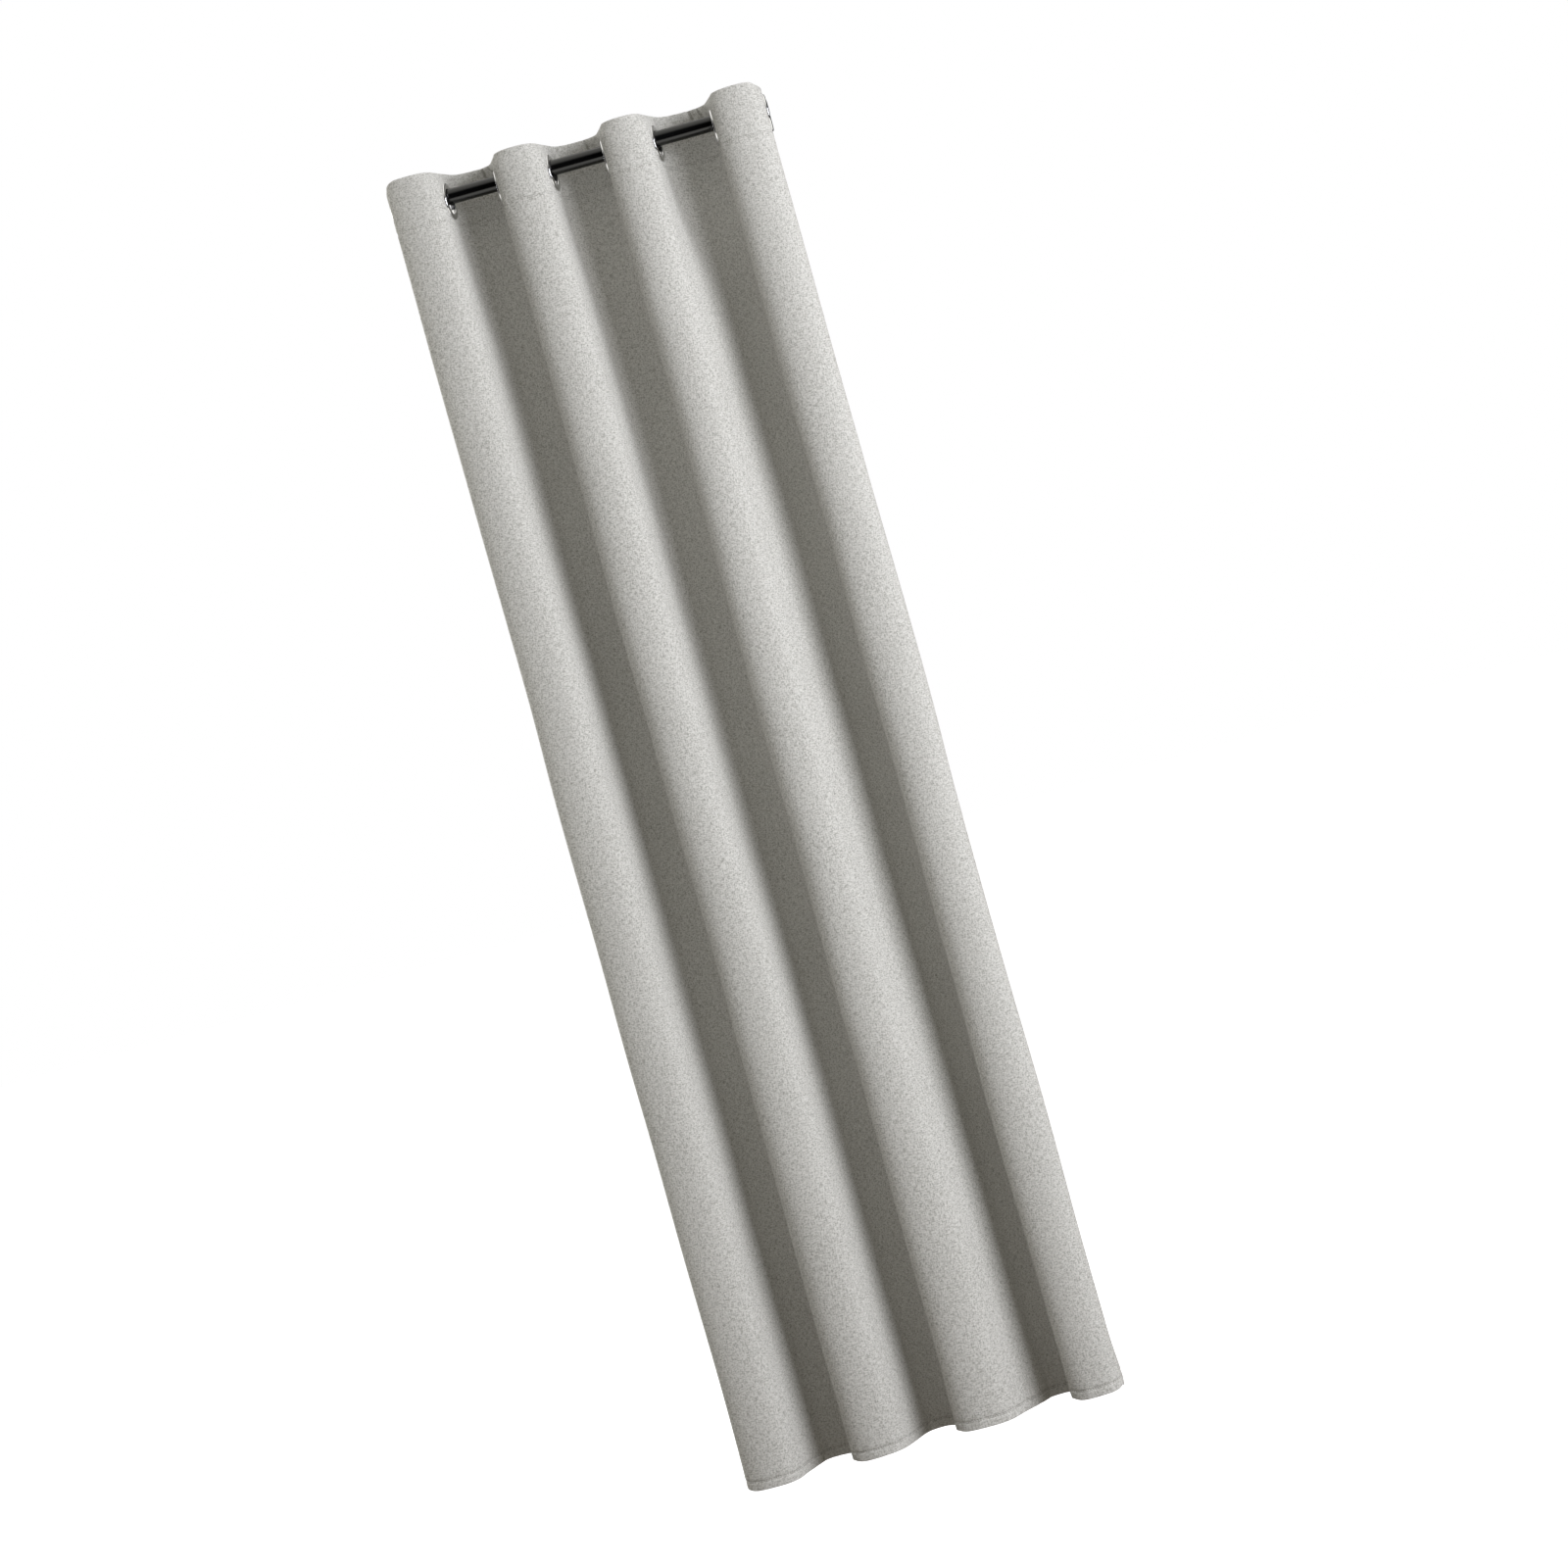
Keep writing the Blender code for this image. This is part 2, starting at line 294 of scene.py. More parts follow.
class Finish:
    """The nodes of a material or of the room: its shader, with constants set on it, and any other node."""

    def __init__(self, owner, shader, constants):
        owner.use_nodes = True
        self.material = owner
        self.tree = owner.node_tree
        self.shader = self.tree.nodes[shader]
        self.feed(self.shader, constants)

    def feed(self, node, inputs):
        for key, value in inputs.items():
            if isinstance(value, Value):
                self.tree.links.new(value.socket, node.inputs[key])
            else:
                node.inputs[key].default_value = value

    def node(self, kind, settings, inputs):
        node = self.tree.nodes.new(kind)
        for setting, value in settings.items():
            setattr(node, setting, value)
        self.feed(node, inputs)
        return node

    def value(self, kind, settings, inputs, output=0):
        return Value(self, self.node(kind, settings, inputs).outputs[output])

    def mix(self, factor, first, second):
        """The colour between two colours."""
        return self.value("ShaderNodeMix", {"data_type": "RGBA"}, {0: factor, 6: first, 7: second}, 2)

    def stretched(self, vector, scale):
        return self.value("ShaderNodeVectorMath", {"operation": "MULTIPLY"}, {0: vector, 1: scale})

    def noise(self, vector, scale=1.0, detail=2.0, roughness=0.5):
        inputs = {"Vector": vector, "Scale": scale, "Detail": detail, "Roughness": roughness}
        return self.value("ShaderNodeTexNoise", {}, inputs)

    def coordinate(self, name):
        return Value(self, self.node("ShaderNodeTexCoord", {}, {}).outputs[name])

    def relief(self, height, depth, strength):
        inputs = {"Height": height, "Distance": depth, "Strength": strength}
        self.feed(self.shader, {"Normal": self.value("ShaderNodeBump", {}, inputs)})


def surface(name, constants):
    return Finish(bpy.data.materials.new(name), "Principled BSDF", constants)


def opaque(colour):
    return (*colour, 1.0)


@lru_cache(maxsize=None)
def linen():
    """A plain weave of slubby yarns in light and dark greys, on the cloth's own flat coordinates, with shade painted
    into the colour along the seams and the creases.
    """
    cloth = bpy.context.scene.curtain_cloth
    finish = surface("linen_weave", {"Roughness": 0.92, "Sheen Weight": 0.12, "Specular IOR Level": 0.2})
    flat = finish.coordinate("UV")
    pitch = cloth.yarn_pitch
    split = finish.node("ShaderNodeSeparateXYZ", {}, {0: flat})
    width_place = Value(finish, split.outputs[0])
    height = Value(finish, split.outputs[1])
    across = width_place / pitch
    down = height / pitch
    warp_slub = finish.noise(finish.stretched(flat, (1 / (1.3 * MM), 1 / (9 * MM), 1)), detail=3.0, roughness=0.6)
    weft_slub = finish.noise(finish.stretched(flat, (1 / (8 * MM), 1 / (1.3 * MM), 1)), detail=3.0, roughness=0.6)
    mottle = finish.noise(flat, scale=1 / (3.6 * MM), detail=4.0, roughness=0.65)
    speckle = finish.noise(flat, scale=1 / (2.6 * MM), detail=2.0, roughness=0.7)
    cloudy = finish.noise(flat, scale=1 / 0.09, detail=2.0)
    warp_over = (across * math.pi).sine() * (down * math.pi).sine()
    lies_over = warp_over.step(-0.25, 0.25)
    warp_round = (across * math.pi).sine().size()
    weft_round = (down * math.pi).sine().size()
    yarn = warp_round * lies_over + weft_round * (1 - lies_over)
    slub = warp_slub * lies_over + weft_slub * (1 - lies_over)
    tone = (slub - 0.5) * 2.2 + (warp_slub + weft_slub - 1.0) * 0.9 + (mottle - 0.5) * 0.7
    tone = tone + (speckle - 0.5) * 1.6 + (cloudy - 0.5) * 0.15
    light_fleck = (warp_slub * weft_slub).step(0.34, 0.47)
    dark_fleck = (1 - (warp_slub + weft_slub) * 0.5).step(0.58, 0.70)
    flecks = light_fleck * 0.22 - dark_fleck * 0.35
    # Painted shade: the colour is darkened in a narrow band along the header seam and the hem seam, with darker ticks
    # where the cloth puckers beside them.
    beside_header, beside_hem = (
        1 - (height - (LENGTH - seam)).size().step(0.7 * MM, 2.4 * MM) for seam in (HEADER_SEAM, BOTTOM_SEAM)
    )
    pucker_shade_ticks = finish.noise(finish.stretched(flat, (1 / (16 * MM), 0, 0)), detail=2.0).step(0.42, 0.62)
    seam_shade = beside_header * (0.18 + 0.28 * pucker_shade_ticks) + beside_hem * (0.30 + 0.60 * pucker_shade_ticks)
    # Painted shade: the colour is darkened along each crease near the top edge, the more the deeper the crease.
    near_top = (height - (LENGTH - HEADER_CREASE_END)).step(0.0, 18 * MM)
    painted_crease_shade = 0.0
    for place, width, depth in CREASES:
        line = 1 - (width_place - drape().flat_place(place)).size().step(0.2 * width, 0.95 * width)
        painted_crease_shade = line * (depth / (5.5 * MM)) + painted_crease_shade
    shade = (tone + flecks + 0.62 + (yarn - 0.6) * 0.25 - seam_shade - painted_crease_shade * near_top).step(0.0, 1.0)
    colour = finish.mix(shade, opaque(cloth.dark_yarn), opaque(cloth.light_yarn))
    finish.feed(finish.shader, {"Base Color": colour, "Roughness": 0.96 - 0.10 * shade})
    finish.relief(yarn * 0.6 + slub * 0.9 + mottle * 0.4, 0.35 * MM, 0.7)
    return finish.material


@lru_cache(maxsize=None)
def buckram():
    """Stiff white non-woven tape with a loose fibre pattern."""
    finish = surface("header_buckram", {"Specular IOR Level": 0.2})
    flat = finish.coordinate("UV")
    fibres = finish.noise(finish.stretched(flat, (900, 260, 1)), detail=5.0, roughness=0.7)
    finish.feed(finish.shader, {
        "Base Color": finish.mix(fibres, (0.70, 0.70, 0.67, 1), (0.90, 0.90, 0.88, 1)),
        "Roughness": 0.80 + 0.15 * fibres,
    })
    finish.relief(fibres, 0.15 * MM, 0.6)
    return finish.material


@lru_cache(maxsize=None)
def sewing_thread():
    """Twisted polyester thread, a little lighter than the cloth."""
    finish = surface("sewing_thread", {"Sheen Weight": 0.2, "Specular IOR Level": 0.35})
    place = finish.coordinate("Object")
    twist = finish.noise(place, scale=2500.0, detail=2.0)
    dirt = finish.noise(place, scale=60.0)
    shade = twist * 0.6 + dirt * 0.4
    finish.feed(finish.shader, {
        "Base Color": finish.mix(shade, (0.80, 0.79, 0.76, 1), (0.97, 0.96, 0.94, 1)),
        "Roughness": 0.55 + 0.2 * twist,
    })
    finish.relief(twist, 0.1 * MM, 0.5)
    return finish.material


@lru_cache(maxsize=None)
def plated():
    """Bright plating with faint polishing marks and a slightly duller bloom in places."""
    colour = bpy.context.scene.curtain_metal.ring_colour
    finish = surface("bright_plating", {"Metallic": 1.0})
    place = finish.coordinate("Object")
    bloom = finish.noise(place, scale=45.0, detail=3.0)
    marks = finish.noise(finish.stretched(place, (400, 400, 2600)), detail=2.0)
    finish.feed(finish.shader, {
        "Base Color": finish.mix(bloom, opaque([0.93 * c for c in colour]), opaque(colour)),
        "Roughness": 0.08 + 0.10 * bloom + 0.04 * marks,
    })
    finish.relief(marks, 0.02 * MM, 0.25)
    return finish.material


def painted(name, colour, roughness, spread):
    """Sprayed black paint: an orange-peel surface with slow changes in gloss and fine dust."""
    finish = surface(name, {"Specular IOR Level": 0.5})
    place = finish.coordinate("Object")
    peel = finish.noise(place, scale=420.0, detail=2.0)
    wear = finish.noise(finish.stretched(place, (9, 60, 60)), detail=4.0, roughness=0.6)
    dust = finish.noise(place, scale=1900.0, detail=1.0).step(0.66, 0.80)
    worn = [c + 0.004 for c in colour]
    finish.feed(finish.shader, {
        "Base Color": finish.mix(wear * 0.5 + dust * 0.25, opaque(colour), opaque(worn)),
        "Roughness": roughness + spread * wear + 0.1 * dust,
    })
    finish.relief(peel, 0.05 * MM, 0.25)
    return finish.material


@lru_cache(maxsize=None)
def rod_paint():
    return painted("rod_paint", list(bpy.context.scene.curtain_metal.rod_colour), 0.12, 0.08)


@lru_cache(maxsize=None)
def cap_plastic():
    return painted("cap_plastic", [0.014, 0.014, 0.015], 0.40, 0.15)


# ---------------------------------------------------------------- how the cloth hangs


def smooth(value, low, high):
    """0 below low and 1 above high, with a soft change between."""
    share = np.clip((value - low) / (high - low), 0, 1)
    return share * share * (3 - 2 * share)


def sway(seed, distance, wavelength):
    """A smooth, repeatable wander, between about -1 and 1."""
    draw = np.random.default_rng(seed)
    total = 0.0
    for share, weight in ((1.0, 0.6), (0.53, 0.3), (0.29, 0.2)):
        total = total + weight * np.sin(math.tau * distance / (wavelength * share) + draw.uniform(0, math.tau))
    return total


def arc(start, start_handle, end_handle, end, steps):
    """Points on a cubic curve, the first one left out."""
    t = np.linspace(0, 1, steps + 1)[1:, None]
    back = 1 - t
    return back**3 * start + 3 * back**2 * t * start_handle + 3 * back * t**2 * end_handle + t**3 * end


def walls_at(down):
    """Each wall's place and slope at one distance below the top edge."""
    share = np.clip((down - HEADER_DEPTH) / (LENGTH - HEADER_DEPTH), 0, 1)
    walls = WALLS_AT_HEADER + (WALLS_AT_HEM - WALLS_AT_HEADER) * share**1.25
    loose = smooth(share, 0.0, 0.25)
    wander = bpy.context.scene.curtain_cloth.wander
    for number in range(RINGS):
        walls[number, 0] += wander * loose * sway(PLACE_SEED + number, down, 1.3)
        walls[number, 1] += 0.03 * loose * sway(SLOPE_SEED + number, down, 1.6)
    spread = SPREAD * smooth(share, 0.0, 0.12)
    walls[:, 1] += spread
    walls[:, 0] += 0.03 * spread
    above_rings = 1 - smooth(down, 0.0, TOP - RING_Z - RING_RADIUS)
    walls[:, 1] += PINCH * above_rings
    walls[1::2, 0] -= 1.5 * MM * above_rings
    walls[-1, 0] += 2.5 * MM * smooth(down, LENGTH - 0.10, LENGTH)
    return walls


def depths_at(down):
    """How far each fold reaches in front of the rod (negative) or behind it."""
    share = np.clip((down - HEADER_DEPTH) / (LENGTH - HEADER_DEPTH), 0, 1)
    loose = smooth(share, 0.0, 0.3)
    depths = []
    for number in range(RINGS - 1):
        depth = BACK_DEPTH if number % 2 else -FRONT_DEPTH
        depths.append(depth + 2.0 * MM * loose * sway(DEPTH_SEED + number, down, 1.1))
    return depths


def wall_point(wall, y):
    return np.array((wall[0] + wall[1] * y, y))


def bend(left, right, depth, bulge):
    """The turn from one wall to the next, in two curves that meet at the deepest point."""
    side = math.copysign(1, depth)
    start = wall_point(left, side * SEAT_HALF_WIDTH)
    end = wall_point(right, side * SEAT_HALF_WIDTH)
    reach = ROUNDNESS * (depth - side * SEAT_HALF_WIDTH)
    lean = (left[1] + right[1]) / 2
    crest = np.array(((start[0] + end[0]) / 2 + lean * reach, depth))
    to_start = np.array((ROUNDNESS * (crest[0] - start[0]), 0))
    to_end = np.array((ROUNDNESS * (end[0] - crest[0]), 0))
    up = start + reach * np.array((left[1] + bulge, 1))
    down = end + reach * np.array((right[1], 1))
    return [arc(start, up, crest - to_start, crest, BEND_STEPS), arc(crest, crest + to_end, down, end, BEND_STEPS)]


def side_return(wall, inward):
    """From the flat seat of an end grommet back to the cloth's free edge behind the rod."""
    seat = wall_point(wall, SEAT_HALF_WIDTH)
    edge = wall_point(wall, RETURN_BACK) + np.array((inward, 0))
    reach = ROUNDNESS * (RETURN_BACK - SEAT_HALF_WIDTH)
    leave = seat + reach * np.array((wall[1], 1))
    arrive = edge - np.array((inward * ROUNDNESS, reach * 0.3))
    return seat, arc(seat, leave, arrive, edge, RETURN_STEPS)


def fold_line(down):
    """The whole fold line at one level, seen from above, from the left edge to the right one."""
    walls = walls_at(down)
    seat, back = side_return(walls[0], RETURN_INWARD)
    line = [back[::-1], seat[None]]
    depths = depths_at(down)
    for number, wall in enumerate(walls):
        facing = 1 if number % 2 == 0 else -1
        levels = facing * SEAT_HALF_WIDTH * np.linspace(1, -1, WALL_STEPS + 1)[1:]
        line.append(np.array([wall_point(wall, y) for y in levels]))
        if number < RINGS - 1:
            line += bend(wall, walls[number + 1], depths[number], BULGE[number])
    line.append(side_return(walls[-1], -RETURN_INWARD)[1])
    return np.concatenate(line)


def cloth_rows():
    """Distances below the top edge: close together at the header, at each seam and at the foot, wider between."""
    beside_seam = np.array((-7.0, -4.5, -2.8, -1.4, 0.0, 1.4, 2.8, 4.5, 7.0)) * MM
    seams = [seam + beside_seam for seam in (HEADER_SEAM, BOTTOM_SEAM)]
    header = np.linspace(0, HEADER_SEAM - 11 * MM, 18)
    body = np.linspace(HEADER_SEAM + 12 * MM, BOTTOM_SEAM - 14 * MM, 122)
    foot = np.array((3.5, 2.0, 0.0)) * MM
    return np.concatenate((header, seams[0], body, seams[1], LENGTH - foot))


def normals_of(points):
    """The direction that the face side looks in, over a grid of points."""
    along = np.gradient(points, axis=1)
    down = np.gradient(points, axis=0)
    normal = np.cross(down, along)
    return normal / np.linalg.norm(normal, axis=2, keepdims=True)


def ring_centre(number):
    return np.array((WALLS_AT_HEADER[number, 0], 0.0, RING_Z))


class Drape:
    """The middle of the face cloth as it hangs: a grid of places and facings, with each column's flat width."""

    def __init__(self):
        self.rows = cloth_rows()
        lines = np.array([fold_line(down) for down in self.rows])
        height = np.broadcast_to((TOP - self.rows)[:, None, None], (*lines.shape[:2], 1))
        self.points = np.concatenate((lines, height), axis=2)
        steps = np.linalg.norm(np.diff(lines[MEASURED_ROW], axis=0), axis=1)
        self.flat = np.concatenate(([0], np.cumsum(steps)))
        self.flat *= bpy.context.scene.curtain_cloth.flat_width / self.flat[-1]
        self.normals = normals_of(self.points)
        self.points = self.points + self.normals * self.relief()[..., None]
        self.points[..., 2] += self.level_changes()
        self.normals = normals_of(self.points)

    def clear_of_rings(self):
        """0 where a ring sits on the cloth and 1 away from it."""
        clear = np.ones(self.points.shape[:2])
        for number in range(RINGS):
            away = np.linalg.norm(self.points - ring_centre(number), axis=2)
            clear = np.minimum(clear, smooth(away, RING_RADIUS + 1 * MM, RING_RADIUS + 14 * MM))
        return clear

    def flat_place(self, grommets):
        """The flat distance from the left edge to a place counted in grommets."""
        return float(np.interp(grommets, np.arange(RINGS), self.flat[WALL_COLUMNS]))

    def relief(self):
        """Small moves along the facing: seams, puckers beside them, creases and a slow roll of the cloth."""
        cloth = bpy.context.scene.curtain_cloth
        across, down = np.meshgrid(self.flat, self.rows)
        share = np.clip((down - HEADER_DEPTH) / (LENGTH - HEADER_DEPTH), 0, 1)
        rise = 1.0 * MM * smooth(share, 0.0, 0.3) * sway(7, across + 0.15 * down, 0.31) * sway(8, down, 0.9)
        for seam, seed, reach in ((HEADER_SEAM, 11, 14 * MM), (BOTTOM_SEAM, 12, 16 * MM)):
            near = np.abs(down - seam)
            rise -= 1.2 * MM * np.exp(-((near / (2.2 * MM)) ** 2))
            rise += cloth.pucker * sway(seed, across, 0.034) * np.exp(-near / reach)
            rise += 0.5 * cloth.pucker * sway(seed + 20, across, 0.017) * np.exp(-near / (0.5 * reach))
        for place, width, depth in CREASES:
            line = np.exp(-(((across - self.flat_place(place)) / width) ** 2))
            rise -= depth * line * (1 - smooth(down, 0.014, 0.034))
        return rise * self.clear_of_rings()

    def level_changes(self):
        """Small changes in height along the top edge and the bottom hem."""
        across, down = np.meshgrid(self.flat, self.rows)
        top = -0.8 * MM * (0.5 + 0.5 * sway(31, across, 0.33)) * (1 - smooth(down, 0.0, 0.02))
        hem = 1.5 * MM * (0.4 + 0.6 * sway(32, across, 0.26)) * smooth(down, LENGTH - 0.4, LENGTH)
        corners = [self.flat_place(wall) + CORNER_PLACE for wall in range(0, RINGS, 2)]
        corners.append(self.flat_place(RINGS - 1) - CORNER_PLACE)
        for corner in corners:
            lifted = CORNER_RISE * np.exp(-(((across - corner) / CORNER_WIDTH) ** 2))
            hem += lifted * smooth(down, LENGTH - 0.05, LENGTH)
        for corner, outward in ((corners[0], -1), (corners[-1], 1)):
            past = (across - corner) * outward
            width = np.where(past > 0, CORNER_WIDTH_OUTWARD, CORNER_WIDTH)
            top -= CORNER_DROP * np.exp(-((past / width) ** 2)) * (1 - smooth(down, 0.0, 0.03))
        return top + hem

    def at(self, downs):
        """Places and facings of all columns at any distances below the top edge."""
        spot = np.interp(downs, self.rows, np.arange(len(self.rows)))
        lower = np.minimum(spot.astype(int), len(self.rows) - 2)
        share = (spot - lower)[:, None, None]
        points = self.points[lower] * (1 - share) + self.points[lower + 1] * share
        normals = self.normals[lower] * (1 - share) + self.normals[lower + 1] * share
        return points, normals / np.linalg.norm(normals, axis=2, keepdims=True)


@lru_cache(maxsize=None)
def drape():
    return Drape()


# ---------------------------------------------------------------- making pieces


def deselect():
    if bpy.context.object and bpy.context.object.mode != "OBJECT":
        bpy.ops.object.mode_set(mode="OBJECT")
    bpy.ops.object.select_all(action="DESELECT")


def name_piece(name):
    piece = bpy.context.object
    piece.name = name
    piece.data.name = name
    return piece


def apply_modifier(piece, kind, **settings):
    bpy.context.view_layer.objects.active = piece
    modifier = piece.modifiers.new("finish", kind)
    for setting, value in settings.items():
        setattr(modifier, setting, value)
    bpy.ops.object.modifier_apply(modifier=modifier.name)


def settle_piece(piece, body, material, slot, *nodes):
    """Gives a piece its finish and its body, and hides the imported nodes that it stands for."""
    piece.data.materials.clear()
    piece.data.materials.append(material)
    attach(piece, body)
    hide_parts(*nodes)


def hang_layer(name, downs, behinds, thickness, first=0, last=None, eyelets=False):
    """One layer of cloth: a flat grid laid over the drape at its distances behind the face, then thickened."""
    hang = drape()
    points, normals = hang.at(np.asarray(downs))
    points = (points - normals * np.asarray(behinds)[:, None, None])[:, first:last]
    flat = hang.flat[first:last]
    rows, columns = points.shape[:2]
    deselect()
    bpy.ops.mesh.primitive_grid_add(x_subdivisions=columns - 1, y_subdivisions=rows - 1, size=1)
    piece = name_piece(name)
    mesh = piece.data
    place = np.empty(len(mesh.vertices) * 3)
    mesh.vertices.foreach_get("co", place)
    place = place.reshape(-1, 3)
    column = np.rint((place[:, 0] + 0.5) * (columns - 1)).astype(int)
    row = np.rint((0.5 - place[:, 1]) * (rows - 1)).astype(int)
    mesh.vertices.foreach_set("co", points[row, column].ravel())
    corner = np.empty(len(mesh.loops), dtype=int)
    mesh.loops.foreach_get("vertex_index", corner)
    laid_flat = np.stack((flat[column[corner]], LENGTH - np.asarray(downs)[row[corner]]), axis=1)
    mesh.uv_layers.active.data.foreach_set("uv", laid_flat.ravel())
    if eyelets:
        open_eyelets(piece)
    apply_modifier(piece, "SOLIDIFY", thickness=thickness, offset=0.0)
    bpy.ops.object.shade_smooth()
    return piece


def open_eyelets(piece):
    """Takes the cloth out of each ring's bore, and rounds the opening that is left."""
    metal = bpy.context.scene.curtain_metal
    opening = metal.bore_radius + metal.barrel_wall + EYELET_CLEARANCE
    cloth = bmesh.new()
    cloth.from_mesh(piece.data)
    for number in range(RINGS):
        centre = Vector(ring_centre(number))
        inside = [face for face in cloth.faces if (face.calc_center_median() - centre).length < opening]
        rim = {vertex for face in inside for vertex in face.verts}
        bmesh.ops.delete(cloth, geom=inside, context="FACES")
        for vertex in rim:
            if vertex.is_valid:
                vertex.co = centre + (vertex.co - centre).normalized() * opening
    cloth.to_mesh(piece.data)
    cloth.free()


def turned(name, profile, sides):
    """A profile of (radius, height) points, drawn point by point and spun about the Z axis."""
    deselect()
    bpy.ops.mesh.primitive_plane_add(size=0.01)
    piece = name_piece(name)
    bpy.ops.object.mode_set(mode="EDIT")
    bpy.ops.mesh.select_all(action="SELECT")
    bpy.ops.mesh.merge(type="CENTER")
    corners = [Vector((radius, 0, height)) for radius, height in profile]
    bpy.ops.transform.translate(value=corners[0])
    for here, there in zip(corners, corners[1:] + corners[:1]):
        bpy.ops.mesh.extrude_vertices_move(TRANSFORM_OT_translate={"value": there - here})
    bpy.ops.mesh.select_all(action="SELECT")
    bpy.ops.mesh.remove_doubles(threshold=1e-6)
    bpy.ops.mesh.select_all(action="SELECT")
    bpy.ops.mesh.spin(steps=sides, angle=math.tau, center=(0, 0, 0), axis=(0, 0, 1))
    bpy.ops.mesh.select_all(action="SELECT")
    bpy.ops.mesh.remove_doubles(threshold=1e-6)
    bpy.ops.mesh.normals_make_consistent(inside=False)
    bpy.ops.object.mode_set(mode="OBJECT")
    bpy.ops.object.shade_smooth_by_angle(angle=math.radians(40))
    return piece


def rounded(radius, low, high, edge, steps=6):
    """The outer side of a turned solid, top to bottom, with its two rims rounded."""
    top = [
        (radius - edge + edge * math.sin(a), high - edge + edge * math.cos(a))
        for a in np.linspace(0, math.pi / 2, steps)
    ]
    return top + [(r, low + high - h) for r, h in reversed(top)]


def place_mesh(piece, matrix):
    piece.data.transform(matrix)
    piece.data.update()


def copy_piece(original, name):
    piece = original.copy()
    piece.data = original.data.copy()
    piece.name = name
    piece.data.name = name
    bpy.context.scene.collection.objects.link(piece)
    return piece


def read_along(travelled, values, spots):
    """Places or directions at any distances along a line, between its own points."""
    return np.stack([np.interp(spots, travelled, values[:, axis]) for axis in range(3)], axis=1)


# ---------------------------------------------------------------- operators


class CURTAIN_OT_stage(bpy.types.Operator):
    """Sets up the camera, the pale floor and the soft lights"""

    bl_idname = "curtain.stage"
    bl_label = "Stage"

    def execute(self, context):
        stage = context.scene.curtain_stage
        context.scene.view_settings.view_transform = "Standard"
        self.add_camera(context, stage)
        self.add_floor(stage)
        self.add_shade_card(stage)
        self.light_all_round(context, stage)
        for name, place, target_z, size, power, colour in (
            ("key_light", (3.3, -2.75, 0.0), -0.85, (2.8, 2.6), stage.key_power, (0.99, 1.0, 1.05)),
            ("back_light", (-2.7, 3.6, -0.3), -1.0, (1.8, 2.6), stage.back_power, (1.0, 1.0, 1.0)),
            ("side_light", (-3.4, 0.2, 0.4), -0.5, (0.5, 1.2), stage.side_power, (1.0, 0.99, 0.96)),
        ):
            self.add_softbox(name, place, (0, 0, target_z), size, power, colour)
        return {"FINISHED"}

    def add_camera(self, context, stage):
        lens = bpy.data.cameras.new("camera")
        lens.lens = stage.lens
        lens.sensor_width = 36.0
        camera = bpy.data.objects.new("camera", lens)
        context.scene.collection.objects.link(camera)
        stand = Matrix.Translation((stage.aim_x, -stage.distance, stage.aim_z))
        camera.matrix_world = stand @ Matrix.Rotation(math.pi / 2, 4, "X") @ Matrix.Rotation(stage.roll, 4, "Z")
        context.scene.camera = camera

    def add_floor(self, stage):
        deselect()
        height = TOP - LENGTH - stage.floor_drop
        bpy.ops.mesh.primitive_circle_add(vertices=96, radius=60, fill_type="NGON", location=(0, 0, height))
        floor = name_piece("floor")
        finish = surface("pale_floor", {"Roughness": 0.9, "Specular IOR Level": 0.0, "Emission Strength": 0.97})
        finish.feed(finish.shader, {"Base Color": (0.5, 0.5, 0.5, 1), "Emission Color": (1, 1, 1, 1)})
        floor.data.materials.append(finish.material)
        floor.visible_diffuse = False
        floor.visible_glossy = False

    def add_shade_card(self, stage):
        """A dark card under the hem, unseen itself, that keeps light from below off the foot of the curtain."""
        deselect()
        bpy.ops.mesh.primitive_plane_add(size=stage.card_size, location=(0, 0, TOP - LENGTH - 0.1))
        card = name_piece("shade_card")
        finish = surface("dark_card", {"Base Color": (0.12, 0.10, 0.08, 1), "Roughness": 0.9})
        card.data.materials.append(finish.material)
        card.visible_camera = False
        card.visible_glossy = False

    def light_all_round(self, context, stage):
        context.scene.world = bpy.data.worlds.new("soft_room")
        room = Finish(context.scene.world, "Background", {})
        rays = room.node("ShaderNodeLightPath", {}, {})
        seen = Value(room, rays.outputs["Is Camera Ray"])
        mirrored = Value(room, rays.outputs["Is Glossy Ray"])
        height = Value(room, room.node("ShaderNodeSeparateXYZ", {}, {0: room.coordinate("Generated")}).outputs[2])
        ceiling = height.step(0.35, 0.93) * stage.ceiling
        pool = (height + 0.83).size().step(0.26, 0.08) * stage.pool
        lit = mirrored * (ceiling + pool + 0.01) + (1 - mirrored) * stage.fill
        colour = room.mix(seen, (1.0, 0.985, 0.925, 1), (1, 1, 1, 1))
        room.feed(room.shader, {"Color": colour, "Strength": seen + (1 - seen) * lit})

    def add_softbox(self, name, place, target, size, power, colour):
        deselect()
        bpy.ops.object.light_add(type="AREA", location=place)
        light = bpy.context.object
        light.name = name
        light.data.shape = "RECTANGLE"
        light.data.size, light.data.size_y = size
        light.data.energy = power
        light.data.color = colour
        light.rotation_euler = (Vector(target) - Vector(place)).to_track_quat("-Z", "Y").to_euler()


